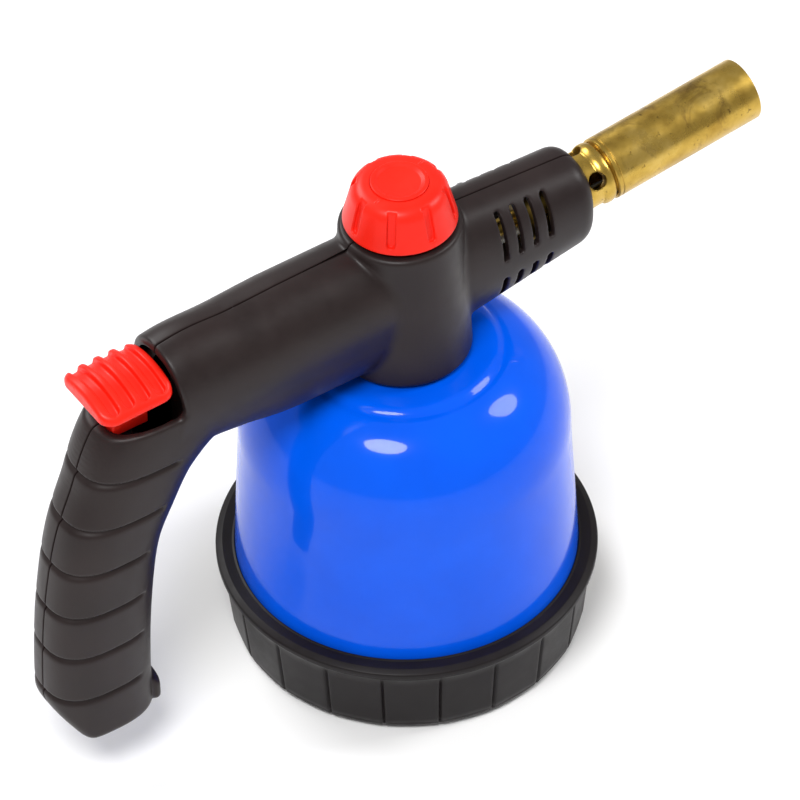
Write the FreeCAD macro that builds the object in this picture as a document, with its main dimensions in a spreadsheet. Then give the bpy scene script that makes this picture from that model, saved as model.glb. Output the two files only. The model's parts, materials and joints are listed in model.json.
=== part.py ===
import FreeCAD, Part
import math
import os
import Sketcher
from FreeCAD import Placement, Rotation, Vector

# Cartridge blow torch, in millimetres. +X runs towards the burner and +Z up. The origin is on the
# axis of the cup and the knob, at the underside of the base cap.

SIZES = {
    # pierceable gas cartridge (a standard 190 g can)
    "cartridge_radius": 45.0,
    "cartridge_height": 88.0,
    "cartridge_shoulder_height": 15.0,
    "cartridge_crown_radius": 31.0,
    "cartridge_tin": 0.5,
    # base cap
    "floor_thick": 3.2,
    "cap_height": 24.8,
    "cap_wall": 2.5,
    "cap_draft": 2.0,
    "cap_edge": 3.0,
    "cap_groove_width": 1.3,
    "cap_groove_depth": 0.8,
    # collar ring
    "collar_thick": 3.0,
    "collar_gap": 0.2,
    "collar_land": 5.6,
    "collar_skirt": 1.6,
    "collar_skirt_low": 12.0,
    "thread_gap": 0.2,
    # cup
    "cup_gap": 0.9,
    "cup_wall": 0.8,
    "cup_draft": 2.2,
    "cup_shoulder_height": 31.3,
    "cup_haunch_in": 7.4,
    "cup_haunch_drop": 8.4,
    "cup_crown_radius": 19.0,
    "cup_room": 12.1,
    # housing: the oval tube of the barrel and the handle
    "column_gap": 1.0,
    "column_height": 44.7,
    "column_low_radius": 19.4,
    "column_top_radius": 17.0,
    "barrel_rise": 21.9,
    "barrel_depth": 22.2,
    "barrel_half_width": 14.4,
    "front_length": 57.4,
    "front_end_depth": 14.4,
    "front_end_lift": 4.4,
    "front_half_width": 12.4,
    "front_edge": 2.6,
    "handle_reach": 104.5,
    "handle_drop": 105.6,
    "handle_depth": 16.1,
    "handle_half_width": 12.4,
    "heel_slant": 57.0,
    "heel_cut_height": 12.0,
    "wall": 2.5,
    "seam": 0.1,
    # housing details
    "grip_groove_width": 1.5,
    "grip_groove_depth": 0.9,
    "slot_width": 2.1,
    "slot_pitch": 4.9,
    "boss_radius": 3.4,
    "screw_radius": 1.5,
    "screw_head_radius": 2.8,
    "screw_head_height": 2.0,
    "screw_seat": 7.0,
    "screw_reach": 13.0,
    # igniter button and piezo
    "pocket_front": 27.0,
    "button_travel": 5.5,
    "button_length": 22.6,
    "button_half_width": 12.2,
    "button_thick": 2.6,
    "button_crown_radius": 22.0,
    "button_crown": 3.4,
    "button_slope": 2.0,
    "pocket_slope": 5.0,
    "button_groove_depth": 1.2,
    "button_stem_width": 11.0,
    "button_groove_pitch": 4.8,
    "button_groove_width": 2.5,
    "piezo_width": 9.0,
    "piezo_length": 22.0,
    "plunger_radius": 2.9,
    # valve
    "valve_radius": 8.0,
    "flange_radius": 14.0,
    "flange_thick": 3.0,
    "valve_height": 35.0,
    "stem_radius": 2.95,
    "running_gap": 0.05,
    "pin_radius": 1.25,
    "seal_radius": 9.0,
    "seal_thick": 2.0,
    "nut_across": 22.0,
    "nut_thick": 5.0,
    "gland_across": 13.0,
    "gland_thick": 6.0,
    "port_radius": 5.5,
    "port_length": 14.0,
    # knob
    "knob_gap": 1.5,
    "knob_radius": 15.9,
    "knob_shoulder_radius": 13.2,
    "knob_height": 13.2,
    "knob_edge": 1.6,
    "knob_wall": 2.4,
    "knob_cap_radius": 8.0,
    "knob_slot_width": 2.2,
    "knob_slot_depth": 1.1,
    # burner, measured along its own axis from the column's axis
    "burner_tilt": 6.6,
    "burner_rise": 21.3,
    "neck_start": 38.0,
    "neck_radius": 7.4,
    "neck_wall": 1.0,
    "tube_start": 67.0,
    "tube_length": 48.6,
    "tube_radius": 9.2,
    "tube_wall": 0.8,
    "air_hole_radius": 2.5,
    "air_hole_back": 5.6,
    "gas_tube_radius": 2.5,
    "gas_tube_bore": 1.3,
    "jet_length": 8.0,
    "holder_back": 27.0,
    "electrode_offset": 4.6,
    "ceramic_radius": 1.4,
    "electrode_radius": 0.5,
    "lead_radius": 1.25,
}
CAP_GROOVES = 20
KNOB_SLOTS = 8
GRIP_GROOVES = 6
AIR_SLOTS = 4
BUTTON_GROOVES = 4
AIR_HOLES = 4
FLAME_HOLES = 8
AIR_HOLE_TURN = 57.0
AXIS_X = Vector(1, 0, 0)
AXIS_Y = Vector(0, 1, 0)
AXIS_Z = Vector(0, 0, 1)

doc = FreeCAD.newDocument("blow_torch")
sheet = doc.addObject("Spreadsheet::Sheet", "sizes")
for row, (alias, value) in enumerate(SIZES.items(), start=1):
    sheet.set(f"A{row}", alias)
    sheet.set(f"B{row}", str(value))
    sheet.setAlias(f"B{row}", alias)
doc.recompute()


class Size:
    """A size with its value and the sheet expression that gives it."""

    def __init__(self, value, text):
        self.value = float(value)
        self.text = text

    def __add__(self, other):
        return joined(self, "+", other)

    def __radd__(self, other):
        return joined(other, "+", self)

    def __sub__(self, other):
        return joined(self, "-", other)

    def __rsub__(self, other):
        return joined(other, "-", self)

    def __mul__(self, other):
        return joined(self, "*", other)

    def __rmul__(self, other):
        return joined(other, "*", self)

    def __truediv__(self, other):
        return joined(self, "/", other)

    def __neg__(self):
        return joined(0, "-", self)


def as_size(item):
    return item if isinstance(item, Size) else Size(item, f"{float(item):.6g}")


def joined(left, sign, right):
    left, right = as_size(left), as_size(right)
    if sign == "+":
        value = left.value + right.value
    elif sign == "-":
        value = left.value - right.value
    elif sign == "*":
        value = left.value * right.value
    else:
        value = left.value / right.value
    return Size(value, f"({left.text} {sign} {right.text})")


def size(alias):
    return Size(sheet.get(alias), f"sizes.{alias}")


def bind(thing, **sizes):
    """Gives each property its value and ties it to the sheet."""
    for name, item in sizes.items():
        item = as_size(item)
        setattr(thing, name, item.value)
        thing.setExpression(name, item.text)
    return thing


def place(thing, at=(0, 0, 0), axis=AXIS_Z, angle=0):
    """Puts a thing at a point with a turn about an axis, all tied to the sheet."""
    at = [as_size(part) for part in at]
    angle = as_size(angle)
    base = Vector(at[0].value, at[1].value, at[2].value)
    thing.Placement = Placement(base, Rotation(axis, angle.value))
    for name, part in zip("xyz", at):
        thing.setExpression(f"Placement.Base.{name}", part.text)
    thing.setExpression("Placement.Rotation.Angle", angle.text)
    return thing


parts = []


def keep(thing, label):
    """Names a finished piece and lists it for export."""
    thing.Label = label
    parts.append(thing)
    return thing


def box(low, high):
    """A box between two corners."""
    low = [as_size(part) for part in low]
    high = [as_size(part) for part in high]
    solid = doc.addObject("Part::Box", "box")
    bind(solid, Length=high[0] - low[0], Width=high[1] - low[1], Height=high[2] - low[2])
    return place(solid, low)


def rod(at, axis, angle, radius, length):
    """A cylinder from a point, its own Z turned about an axis."""
    solid = doc.addObject("Part::Cylinder", "rod")
    bind(solid, Radius=radius, Height=length)
    return place(solid, at, axis, angle)


def fuse(*solids):
    joint = doc.addObject("Part::MultiFuse", "fuse")
    joint.Shapes = list(solids)
    return joint


def gather(solids):
    group = doc.addObject("Part::Compound", "group")
    group.Links = list(solids)
    return group


def cut(base, *tools):
    """The base less the tools."""
    result = doc.addObject("Part::Cut", "cut")
    result.Base = base
    result.Tool = tools[0] if len(tools) == 1 else fuse(*tools)
    return result


def common(first, second):
    result = doc.addObject("Part::Common", "common")
    result.Base = first
    result.Tool = second
    return result


def ring_of(count, make, start=0.0):
    """Copies of a tool made by make(angle), evenly spaced round Z."""
    return [make(start + 360.0 * index / count) for index in range(count)]


def turned(name, outline, arcs=None):
    """A body of revolution about Z. outline lists (radius, height); arcs gives, for the edge that
    leaves a point, its radius, positive where the edge bulges to its right-hand side."""
    arcs = arcs or {}
    body = doc.addObject("PartDesign::Body", name)
    sketch = body.newObject("Sketcher::SketchObject", f"{name}_outline")
    upright = [item for item in body.Origin.OriginFeatures if item.Role == "XZ_Plane"][0]
    sketch.AttachmentSupport = (upright, [""])
    sketch.MapMode = "FlatFace"
    points = [(as_size(radius), as_size(height)) for radius, height in outline]
    flat = [Vector(radius.value, height.value, 0) for radius, height in points]
    count = len(flat)
    for index, start in enumerate(flat):
        end = flat[(index + 1) % count]
        if index in arcs:
            sketch.addGeometry(arc_edge(start, end, as_size(arcs[index]).value), False)
        else:
            sketch.addGeometry(Part.LineSegment(start, end), False)
    # an arc made clockwise is stored with its ends swapped
    swapped = [index for index, radius in arcs.items() if as_size(radius).value < 0]
    first = {index: 2 if index in swapped else 1 for index in range(count)}
    for index in range(count):
        following = (index + 1) % count
        ends = (index, 3 - first[index], following, first[following])
        sketch.addConstraint(Sketcher.Constraint("Coincident", *ends))
    for index, (radius, height) in enumerate(points):
        if radius.value == 0:
            sketch.addConstraint(Sketcher.Constraint("PointOnObject", index, first[index], -2))
        else:
            tie(sketch, "DistanceX", index, first[index], radius)
        if height.value == 0:
            sketch.addConstraint(Sketcher.Constraint("PointOnObject", index, first[index], -1))
        else:
            tie(sketch, "DistanceY", index, first[index], height)
    for index, radius in arcs.items():
        radius = as_size(radius)
        radius = radius if radius.value > 0 else -radius
        number = sketch.addConstraint(Sketcher.Constraint("Radius", index, radius.value))
        sketch.setExpression(f"Constraints[{number}]", radius.text)
    turn = body.newObject("PartDesign::Revolution", f"{name}_turn")
    turn.Profile = sketch
    turn.ReferenceAxis = (sketch, ["V_Axis"])
    turn.Angle = 360
    return body


def arc_edge(start, end, radius):
    """An arc between two points, bulging to the right of the way from start to end if positive."""
    chord = end - start
    half = chord.Length / 2
    side = Vector(chord.y, -chord.x, 0).normalize() * math.copysign(1, radius)
    sagitta = abs(radius) - math.sqrt(radius * radius - half * half)
    middle = (start + end) / 2 + side * sagitta
    return Part.Arc(start, middle, end)


def tie(sketch, kind, index, vertex, item):
    number = sketch.addConstraint(Sketcher.Constraint(kind, -1, 1, index, vertex, item.value))
    sketch.setExpression(f"Constraints[{number}]", item.text)


def hexagon(name, across, low, thick, bore):
    """A hexagonal nut about Z."""
    prism = doc.addObject("Part::Prism", name)
    prism.Polygon = 6
    bind(prism, Circumradius=across / math.sqrt(3), Height=thick)
    place(prism, (0, 0, low))
    hole = rod((0, 0, low - 1), AXIS_Z, 0, bore, thick + 2)
    return cut(prism, hole)


# heights up the column's axis
floor_top = size("floor_thick")
cartridge_top = floor_top + size("cartridge_height")
crown_top = cartridge_top + size("cup_room")
shoulder_low = crown_top - size("cup_shoulder_height")
collar_low = size("cap_height") + size("collar_gap")
collar_top = collar_low + size("collar_thick")
column_low = crown_top + size("column_gap")
column_top = column_low + size("column_height")
barrel_mid = column_low + size("barrel_rise")
flange_low = crown_top
flange_top = flange_low + size("flange_thick")
valve_top = flange_top + size("valve_height")
gland_top = valve_top + size("gland_thick")
knob_low = column_top + size("knob_gap")
knob_top = knob_low + size("knob_height")
burner_height = column_low + size("burner_rise")
burner_turn = Size(90, "90") - size("burner_tilt")

# radii about the column's axis
cup_top_radius = size("cartridge_radius") + size("cup_gap") + size("cup_wall")
cup_radius = cup_top_radius + size("cup_draft")
skirt_radius = cup_radius + size("collar_skirt")
collar_radius = cup_radius + size("collar_land")
cap_bore = skirt_radius + size("thread_gap")
cap_radius = cap_bore + size("cap_wall")
cap_low_radius = cap_radius - size("cap_draft")
well_radius = size("cartridge_radius") + size("cup_gap")


def base_cap():
    edge = size("cap_edge")
    low = floor_top
    body = turned("cap_form", [
        (0, 0),
        (cap_low_radius - edge, 0),
        (cap_low_radius, edge),
        (cap_radius, size("cap_height") - 0.6),
        (cap_radius - 0.6, size("cap_height")),
        (cap_bore, size("cap_height")),
        (cap_bore, size("collar_skirt_low") - 2.5),
        (well_radius + 0.4, size("collar_skirt_low") - 2.5),
        (well_radius + 0.4, low),
        (0, low),
    ], {1: edge * 1.05})
    lean = math.degrees(math.atan2(size("cap_draft").value, size("cap_height").value - edge.value))
    depth = size("cap_groove_depth")
    width = size("cap_groove_width")

    def groove(angle):
        tool = doc.addObject("Part::Box", "groove")
        bind(tool, Length=4, Width=width, Height=size("cap_height") - 2)
        lower = Vector(cap_low_radius.value - depth.value, -width.value / 2, 2.0)
        upright = Placement(lower, Rotation(AXIS_Y, lean))
        tool.Placement = Placement(Vector(), Rotation(AXIS_Z, angle)) * upright
        return tool

    keep(cut(body, gather(ring_of(CAP_GROOVES, groove, 9.0))), "base_cap")


def collar_ring():
    low = size("collar_skirt_low")
    keep(turned("collar_ring", [
        (cup_radius + 0.05, low),
        (cup_radius + 0.05, collar_top),
        (collar_radius - 0.8, collar_top),
        (collar_radius, collar_top - 0.8),
        (collar_radius, collar_low + 0.4),
        (collar_radius - 0.4, collar_low),
        (skirt_radius, collar_low),
        (skirt_radius, low - 2),
        (well_radius + 0.4, low - 2),
        (well_radius + 0.4, low - 0.05),
        (cup_radius, low - 0.05),
    ]), "collar_ring")


def canister_cup():
    wall = size("cup_wall")
    rise = size("cup_shoulder_height") - size("cup_haunch_drop")
    inward = size("cup_haunch_in")
    run = cup_top_radius - inward - size("cup_crown_radius")
    drop = size("cup_haunch_drop")
    side_arc = (inward * inward + rise * rise) / (inward * 2)
    crown_arc = (run * run + drop * drop) / (drop * 2)
    hole = size("valve_radius") + 0.2
    inner = wall * 0.7
    keep(turned("canister_cup", [
        (cup_radius, size("collar_skirt_low")),
        (cup_radius, collar_top),
        (cup_top_radius, shoulder_low),
        (cup_top_radius - inward, crown_top - drop),
        (size("cup_crown_radius"), crown_top),
        (hole, crown_top),
        (hole, crown_top - wall),
        (size("cup_crown_radius"), crown_top - wall),
        (cup_top_radius - inward - inner, crown_top - drop - inner),
        (cup_top_radius - wall, shoulder_low),
        (cup_radius - wall, collar_top),
        (cup_radius - wall, size("collar_skirt_low")),
    ], {2: side_arc, 3: crown_arc, 7: -(crown_arc - wall), 8: -(side_arc - wall)}), "canister_cup")


def gas_cartridge():
    radius = size("cartridge_radius")
    crown = size("cartridge_crown_radius")
    tin = size("cartridge_tin")
    shoulder = cartridge_top - size("cartridge_shoulder_height")
    pierced = size("pin_radius") + 0.35
    keep(turned("gas_cartridge", [
        (0, floor_top + 4),
        (radius - 8, floor_top),
        (radius, floor_top),
        (radius, shoulder),
        (crown, cartridge_top - 1),
        (crown - 4, cartridge_top - 1),
        (crown - 4, cartridge_top - 4),
        (size("seal_radius") + 3, cartridge_top),
        (pierced, cartridge_top),
        (pierced, cartridge_top - tin),
        (size("seal_radius") + 3, cartridge_top - tin),
        (crown - 4 - tin, cartridge_top - 4.8),
        (crown - tin, cartridge_top - 4.8),
        (radius - tin, shoulder - tin),
        (radius - tin, floor_top + tin),
        (radius - 8, floor_top + tin),
        (0, floor_top + 4 + tin),
    ]), "gas_cartridge")


seal_low = cartridge_top + 0.1
seal_top = seal_low + size("seal_thick")


def valve():
    gap = size("running_gap")
    radius = size("valve_radius")
    stem_bore = size("stem_radius") + gap
    chamber_low = burner_height - 3
    chamber_high = burner_height + 4
    form = turned("valve_form", [
        (size("pin_radius") + gap, seal_top),
        (radius, seal_top),
        (radius, flange_low),
        (size("flange_radius"), flange_low),
        (size("flange_radius"), flange_top),
        (radius, flange_top),
        (radius, valve_top),
        (stem_bore, valve_top),
        (stem_bore, chamber_high),
        (stem_bore + 0.8, chamber_high),
        (stem_bore + 0.8, chamber_low),
        (0.8, chamber_low - 1.5),
        (0.8, seal_top + 6),
        (size("pin_radius") + gap, seal_top + 6),
    ])
    outlet_at = (0, 0, burner_height)
    port = rod(outlet_at, AXIS_Y, burner_turn, size("port_radius"), size("port_length"))
    bore = rod(outlet_at, AXIS_Y, burner_turn, size("gas_tube_radius") + gap, size("port_length") + 1)
    inside = rod((0, 0, seal_top + 6), AXIS_Z, 0, radius - 0.5, valve_top - seal_top - 7)
    spigot = cut(port, inside)
    outlet = cut(bore, rod((0, 0, chamber_low - 2), AXIS_Z, 0, 1.0, 12))
    keep(cut(fuse(form, spigot), outlet), "valve_body")

    keep(turned("cartridge_seal", [
        (size("pin_radius") + 0.4, seal_low),
        (size("seal_radius"), seal_low),
        (size("seal_radius"), seal_top - 0.02),
        (size("pin_radius") + 0.4, seal_top - 0.02),
    ]), "cartridge_seal")
    pin_low = seal_low - 7
    keep(turned("piercing_pin", [
        (0.45, pin_low),
        (0.7, pin_low),
        (size("pin_radius"), pin_low + 2.5),
        (size("pin_radius"), seal_top + 5.5),
        (0.45, seal_top + 5.5),
    ]), "piercing_pin")
    washer_top = crown_top - size("cup_wall") - 0.02
    washer_low = washer_top - 1.2
    keep(turned("mounting_washer", [
        (radius + 0.2, washer_low),
        (size("nut_across") / 2 + 2, washer_low),
        (size("nut_across") / 2 + 2, washer_top),
        (radius + 0.2, washer_top),
    ]), "mounting_washer")
    nut_low = washer_low - size("nut_thick") - 0.02
    keep(hexagon("lock_nut", size("nut_across"), nut_low, size("nut_thick"), radius + gap), "valve_lock_nut")
    gland = hexagon("gland", size("gland_across"), valve_top + 0.02, size("gland_thick"), stem_bore + 0.02)
    keep(gland, "gland_nut")


def stem_and_knob():
    gap = size("running_gap")
    radius = size("stem_radius")
    tip = burner_height - 2.2
    groove_low = valve_top - 6
    groove_high = groove_low + 2
    stem_top = knob_top - 5
    keep(turned("valve_stem", [
        (0, tip),
        (0.6, tip),
        (radius, tip + 5),
        (radius, groove_low),
        (radius - 1, groove_low),
        (radius - 1, groove_high),
        (radius, groove_high),
        (radius, stem_top),
        (1.3, stem_top),
        (1.3, stem_top - 7),
        (0, stem_top - 7),
    ]), "valve_stem")
    ring = doc.addObject("Part::Torus", "stem_o_ring")
    bind(ring, Radius1=radius - 0.5, Radius2=0.45)
    place(ring, (0, 0, groove_low + 1))
    keep(ring, "stem_o_ring")

    wall = size("knob_wall")
    foot = size("knob_radius")
    shoulder = size("knob_shoulder_radius")
    edge = size("knob_edge")
    hub = radius + 2.6
    recess = knob_top - 2.2
    ceiling = knob_top - 6.5
    form = turned("knob_form", [
        (radius + 0.02, gland_top + 3),
        (hub, gland_top + 3),
        (hub, ceiling),
        (shoulder - wall, ceiling),
        (foot - wall, knob_low),
        (foot - 0.4, knob_low),
        (foot, knob_low + 0.4),
        (shoulder, knob_top - edge - 0.9),
        (shoulder - edge, knob_top - 0.9),
        (size("knob_cap_radius") + 0.1, knob_top - 0.4),
        (size("knob_cap_radius") + 0.1, recess - 1),
        (3.2, recess - 1),
        (3.2, stem_top),
        (radius + 0.02, stem_top),
    ], {7: edge * 1.3})
    lean = math.degrees(math.atan2((foot - shoulder).value, (size("knob_height") - edge - 0.9).value))
    depth = size("knob_slot_depth")
    width = size("knob_slot_width")

    def slot(angle):
        tool = doc.addObject("Part::Box", "slot")
        bind(tool, Length=4, Width=width, Height=size("knob_height"))
        lower = Vector(foot.value - depth.value - 0.35, -width.value / 2, knob_low.value + 2)
        leaning = Placement(lower, Rotation(AXIS_Y, -lean))
        tool.Placement = Placement(Vector(), Rotation(AXIS_Z, angle)) * leaning
        return tool

    keep(cut(form, gather(ring_of(KNOB_SLOTS, slot, 2.0))), "control_knob")
    keep(turned("knob_cap", [
        (0, recess - 0.98),
        (size("knob_cap_radius"), recess - 0.98),
        (size("knob_cap_radius"), knob_top - 0.5),
        (size("knob_cap_radius") - 0.8, knob_top),
        (size("knob_cap_radius") - 2.2, knob_top),
        (0, knob_top - 0.9),
    ]), "knob_cap")
    head = recess - 1.1
    keep(turned("knob_screw", [
        (0, stem_top - 6.5),
        (1.25, stem_top - 6.5),
        (1.25, stem_top + 0.02),
        (2.9, stem_top + 0.02),
        (2.9, head - 0.4),
        (2.4, head),
        (0, head),
    ]), "knob_screw")


def burner_part(solid, label):
    """Lays a piece, modelled along its own Z, on the burner's axis."""
    place(solid, (0, 0, burner_height), AXIS_Y, burner_turn)
    return keep(solid, label)


def burner():
    gap = size("running_gap")
    neck = size("neck_radius")
    bore = neck - size("neck_wall")
    start = size("neck_start")
    tube_start = size("tube_start")
    tube = size("tube_radius")
    tube_bore = tube - size("tube_wall")
    gas = size("gas_tube_radius")
    offset = size("electrode_offset")
    form = turned("neck_form", [
        (gas + gap, start),
        (neck, start),
        (neck, tube_start - 4.5),
        (tube - 0.9, tube_start - 3.2),
        (tube - 0.1, tube_start - 1.4),
        (tube - 0.1, tube_start),
        (tube_bore - gap, tube_start),
        (tube_bore - gap, tube_start + 5),
        (tube_bore - 1, tube_start + 5),
        (tube_bore - 1, tube_start - 2),
        (bore, tube_start - 4.5),
        (bore, start + 6),
        (gas + gap, start + 6),
    ])

    def air_hole(angle):
        tool = doc.addObject("Part::Cylinder", "air_hole")
        bind(tool, Radius=size("air_hole_radius"), Height=14)
        centre = Vector(0, 0, (tube_start - size("air_hole_back")).value)
        outward = Placement(Vector(), Rotation(AXIS_Y, 90))
        tool.Placement = Placement(centre, Rotation(AXIS_Z, angle)) * outward
        return tool

    ceramic_bore = rod((offset, 0, start - 1), AXIS_Z, 0, size("ceramic_radius") + gap, 8)
    holes = gather(ring_of(AIR_HOLES, air_hole, AIR_HOLE_TURN) + [ceramic_bore])
    burner_part(cut(form, holes), "burner_neck")

    tube_end = tube_start + size("tube_length")
    burner_part(turned("tube_form", [
        (tube_bore, tube_start + 0.05),
        (tube - 0.25, tube_start + 0.05),
        (tube, tube_start + 0.35),
        (tube, tube_start + 1.3),
        (tube - 0.25, tube_start + 1.55),
        (tube, tube_start + 1.8),
        (tube, tube_end - 0.2),
        (tube - 0.2, tube_end),
        (tube_bore, tube_end),
    ]), "burner_tube")

    holder_low = tube_end - size("holder_back")
    disc = turned("holder_form", [
        (1.9, holder_low),
        (tube_bore - gap, holder_low),
        (tube_bore - gap, holder_low + 4),
        (tube_bore - 0.8, holder_low + 4),
        (tube_bore - 0.8, holder_low + 1.2),
        (1.9, holder_low + 1.2),
    ])

    def flame_hole(angle):
        tool = doc.addObject("Part::Cylinder", "flame_hole")
        bind(tool, Radius=1.0, Height=4)
        centre = Vector(offset.value, 0, holder_low.value - 1)
        tool.Placement = Placement(Vector(), Rotation(AXIS_Z, angle)) * Placement(centre, Rotation())
        return tool

    burner_part(cut(disc, gather(ring_of(FLAME_HOLES, flame_hole))), "flame_holder")

    jet_low = start + 8
    burner_part(turned("gas_tube", [
        (size("gas_tube_bore"), size("port_length") - 6),
        (gas, size("port_length") - 6),
        (gas, jet_low),
        (size("gas_tube_bore"), jet_low),
    ]), "gas_tube")
    jet_top = jet_low + size("jet_length")
    burner_part(turned("jet_nozzle", [
        (size("gas_tube_bore") - gap, jet_low - 4),
        (size("gas_tube_bore") - gap, jet_low + 0.02),
        (gas + 0.3, jet_low + 0.02),
        (gas + 0.3, jet_top - 2),
        (1.2, jet_top),
        (0.2, jet_top),
        (0.2, jet_top - 2),
        (0.7, jet_top - 3),
        (0.7, jet_low - 4),
    ]), "jet_nozzle")
    wire = size("electrode_radius")
    sleeve = turned("ceramic_form", [
        (wire + gap, start - 6),
        (size("ceramic_radius"), start - 6),
        (size("ceramic_radius"), start + 20),
        (wire + gap, start + 20),
    ])
    lay_off_axis(sleeve, "ceramic_insulator")
    lay_off_axis(turned("electrode_form", [
        (0, start - 8),
        (wire, start - 8),
        (wire, holder_low + 6),
        (0, holder_low + 7),
    ]), "spark_electrode")


def off_axis_shift():
    """Where the electrode's line meets the plane across the burner's axis at its origin."""
    tilt = size("burner_tilt").text
    offset = size("electrode_offset")
    value = math.radians(size("burner_tilt").value)
    along = Size(math.sin(value), f"sin({tilt})") * offset
    down = Size(math.cos(value), f"cos({tilt})") * offset
    return along, down


def lay_off_axis(solid, label):
    along, down = off_axis_shift()
    place(solid, (along, 0, burner_height - down), AXIS_Y, burner_turn)
    return keep(solid, label)


def oval(x, z, lean, depth, width):
    """An upright oval: its long half is depth, its normal leans from +Z towards +X."""
    section = doc.addObject("Part::Ellipse", "oval")
    bind(section, MajorRadius=depth, MinorRadius=width)
    return place(section, (x, 0, z), AXIS_Y, lean)


def loft(sections):
    skin = doc.addObject("Part::Loft", "loft")
    skin.Sections = sections
    skin.Solid = True
    skin.Ruled = True
    return skin


def grip_form(inset):
    """The handle and the rear barrel, as one bent oval tube drawn in by an inset."""
    reach = size("handle_reach")
    heel = barrel_mid - size("handle_drop")
    depth = size("handle_depth")
    barrel = size("barrel_depth")
    slim = size("handle_half_width")
    wide = size("barrel_half_width")
    column = size("column_low_radius")
    stations = [
        (-reach, heel + inset, 0, depth, slim),
        (-reach, heel + 16.4, 0, depth, slim),
        (-reach + 1.8, heel + 41.2, 6, depth, slim),
        (-reach + 5.8, heel + 64.9, 14, depth - 0.4, slim + 0.2),
        (-reach + 12.1, heel + 80.4, 24, depth + 0.1, slim + 0.5),
        (-reach + 20.0, heel + 95.3, 37, depth + 2.1, slim + 0.9),
        (-reach + 32.4, barrel_mid + 0.5, 62, barrel - 2.4, wide - 0.6),
        (-reach + 47.9, barrel_mid - 0.3, 88, barrel - 3.5, wide - 0.1),
        (-reach + 60.2, barrel_mid - 1.5, 92, barrel - 1.4, wide),
        (-column - 6.6, barrel_mid - 0.8, 90, barrel - 1.2, wide),
        (5, barrel_mid - 0.1, 90, barrel - 1.1, wide - 0.2),
    ]
    ovals = [oval(x, z, lean, across - inset, width - inset) for x, z, lean, across, width in stations]
    return loft(ovals)


def front_form(inset):
    """The front barrel, which slims towards the burner."""
    end = size("front_length")
    edge = size("front_edge")
    depth = size("front_end_depth")
    width = size("front_half_width")
    lift = barrel_mid + size("front_end_lift")
    sections = [
        oval(-5, barrel_mid, 90, size("barrel_depth") - 0.6 - inset, width + 0.4 - inset),
        oval(end - edge - inset / 2, lift, 90, depth - inset, width - inset),
        oval(end - inset, lift, 90, depth - edge - inset / 2, width - edge - inset / 2),
    ]
    return loft(sections)


def column_form(inset):
    cone = doc.addObject("Part::Cone", "column")
    bind(cone, Radius1=size("column_low_radius") - inset, Radius2=size("column_top_radius") - inset)
    bind(cone, Height=column_top - column_low - inset)
    return place(cone, (0, 0, column_low))


pocket_x = -size("handle_reach") + size("pocket_front")
pocket_z = barrel_mid + 2.4
button_x = pocket_x - 1.5 - size("button_length") / 2
button_low = pocket_z + size("button_travel") + 1.8


def pocket(inset):
    """The corner cut away for the button, its floor falling to the rear."""
    tool = doc.addObject("Part::Box", "pocket")
    bind(tool, Length=60, Width=60, Height=40)
    slope = Rotation(AXIS_Y, -size("pocket_slope").value)
    corner = Vector((pocket_x + inset).value, 0, (pocket_z - inset).value)
    tool.Placement = Placement(corner + slope.multVec(Vector(-60, -30, 0)), slope)
    return tool


def housing_form(forms, corner, side):
    """One side of the handle, barrel and column, joined, with the button's corner cut away."""
    return cut(fuse(*[common(form, side) for form in forms]), corner)


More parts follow.
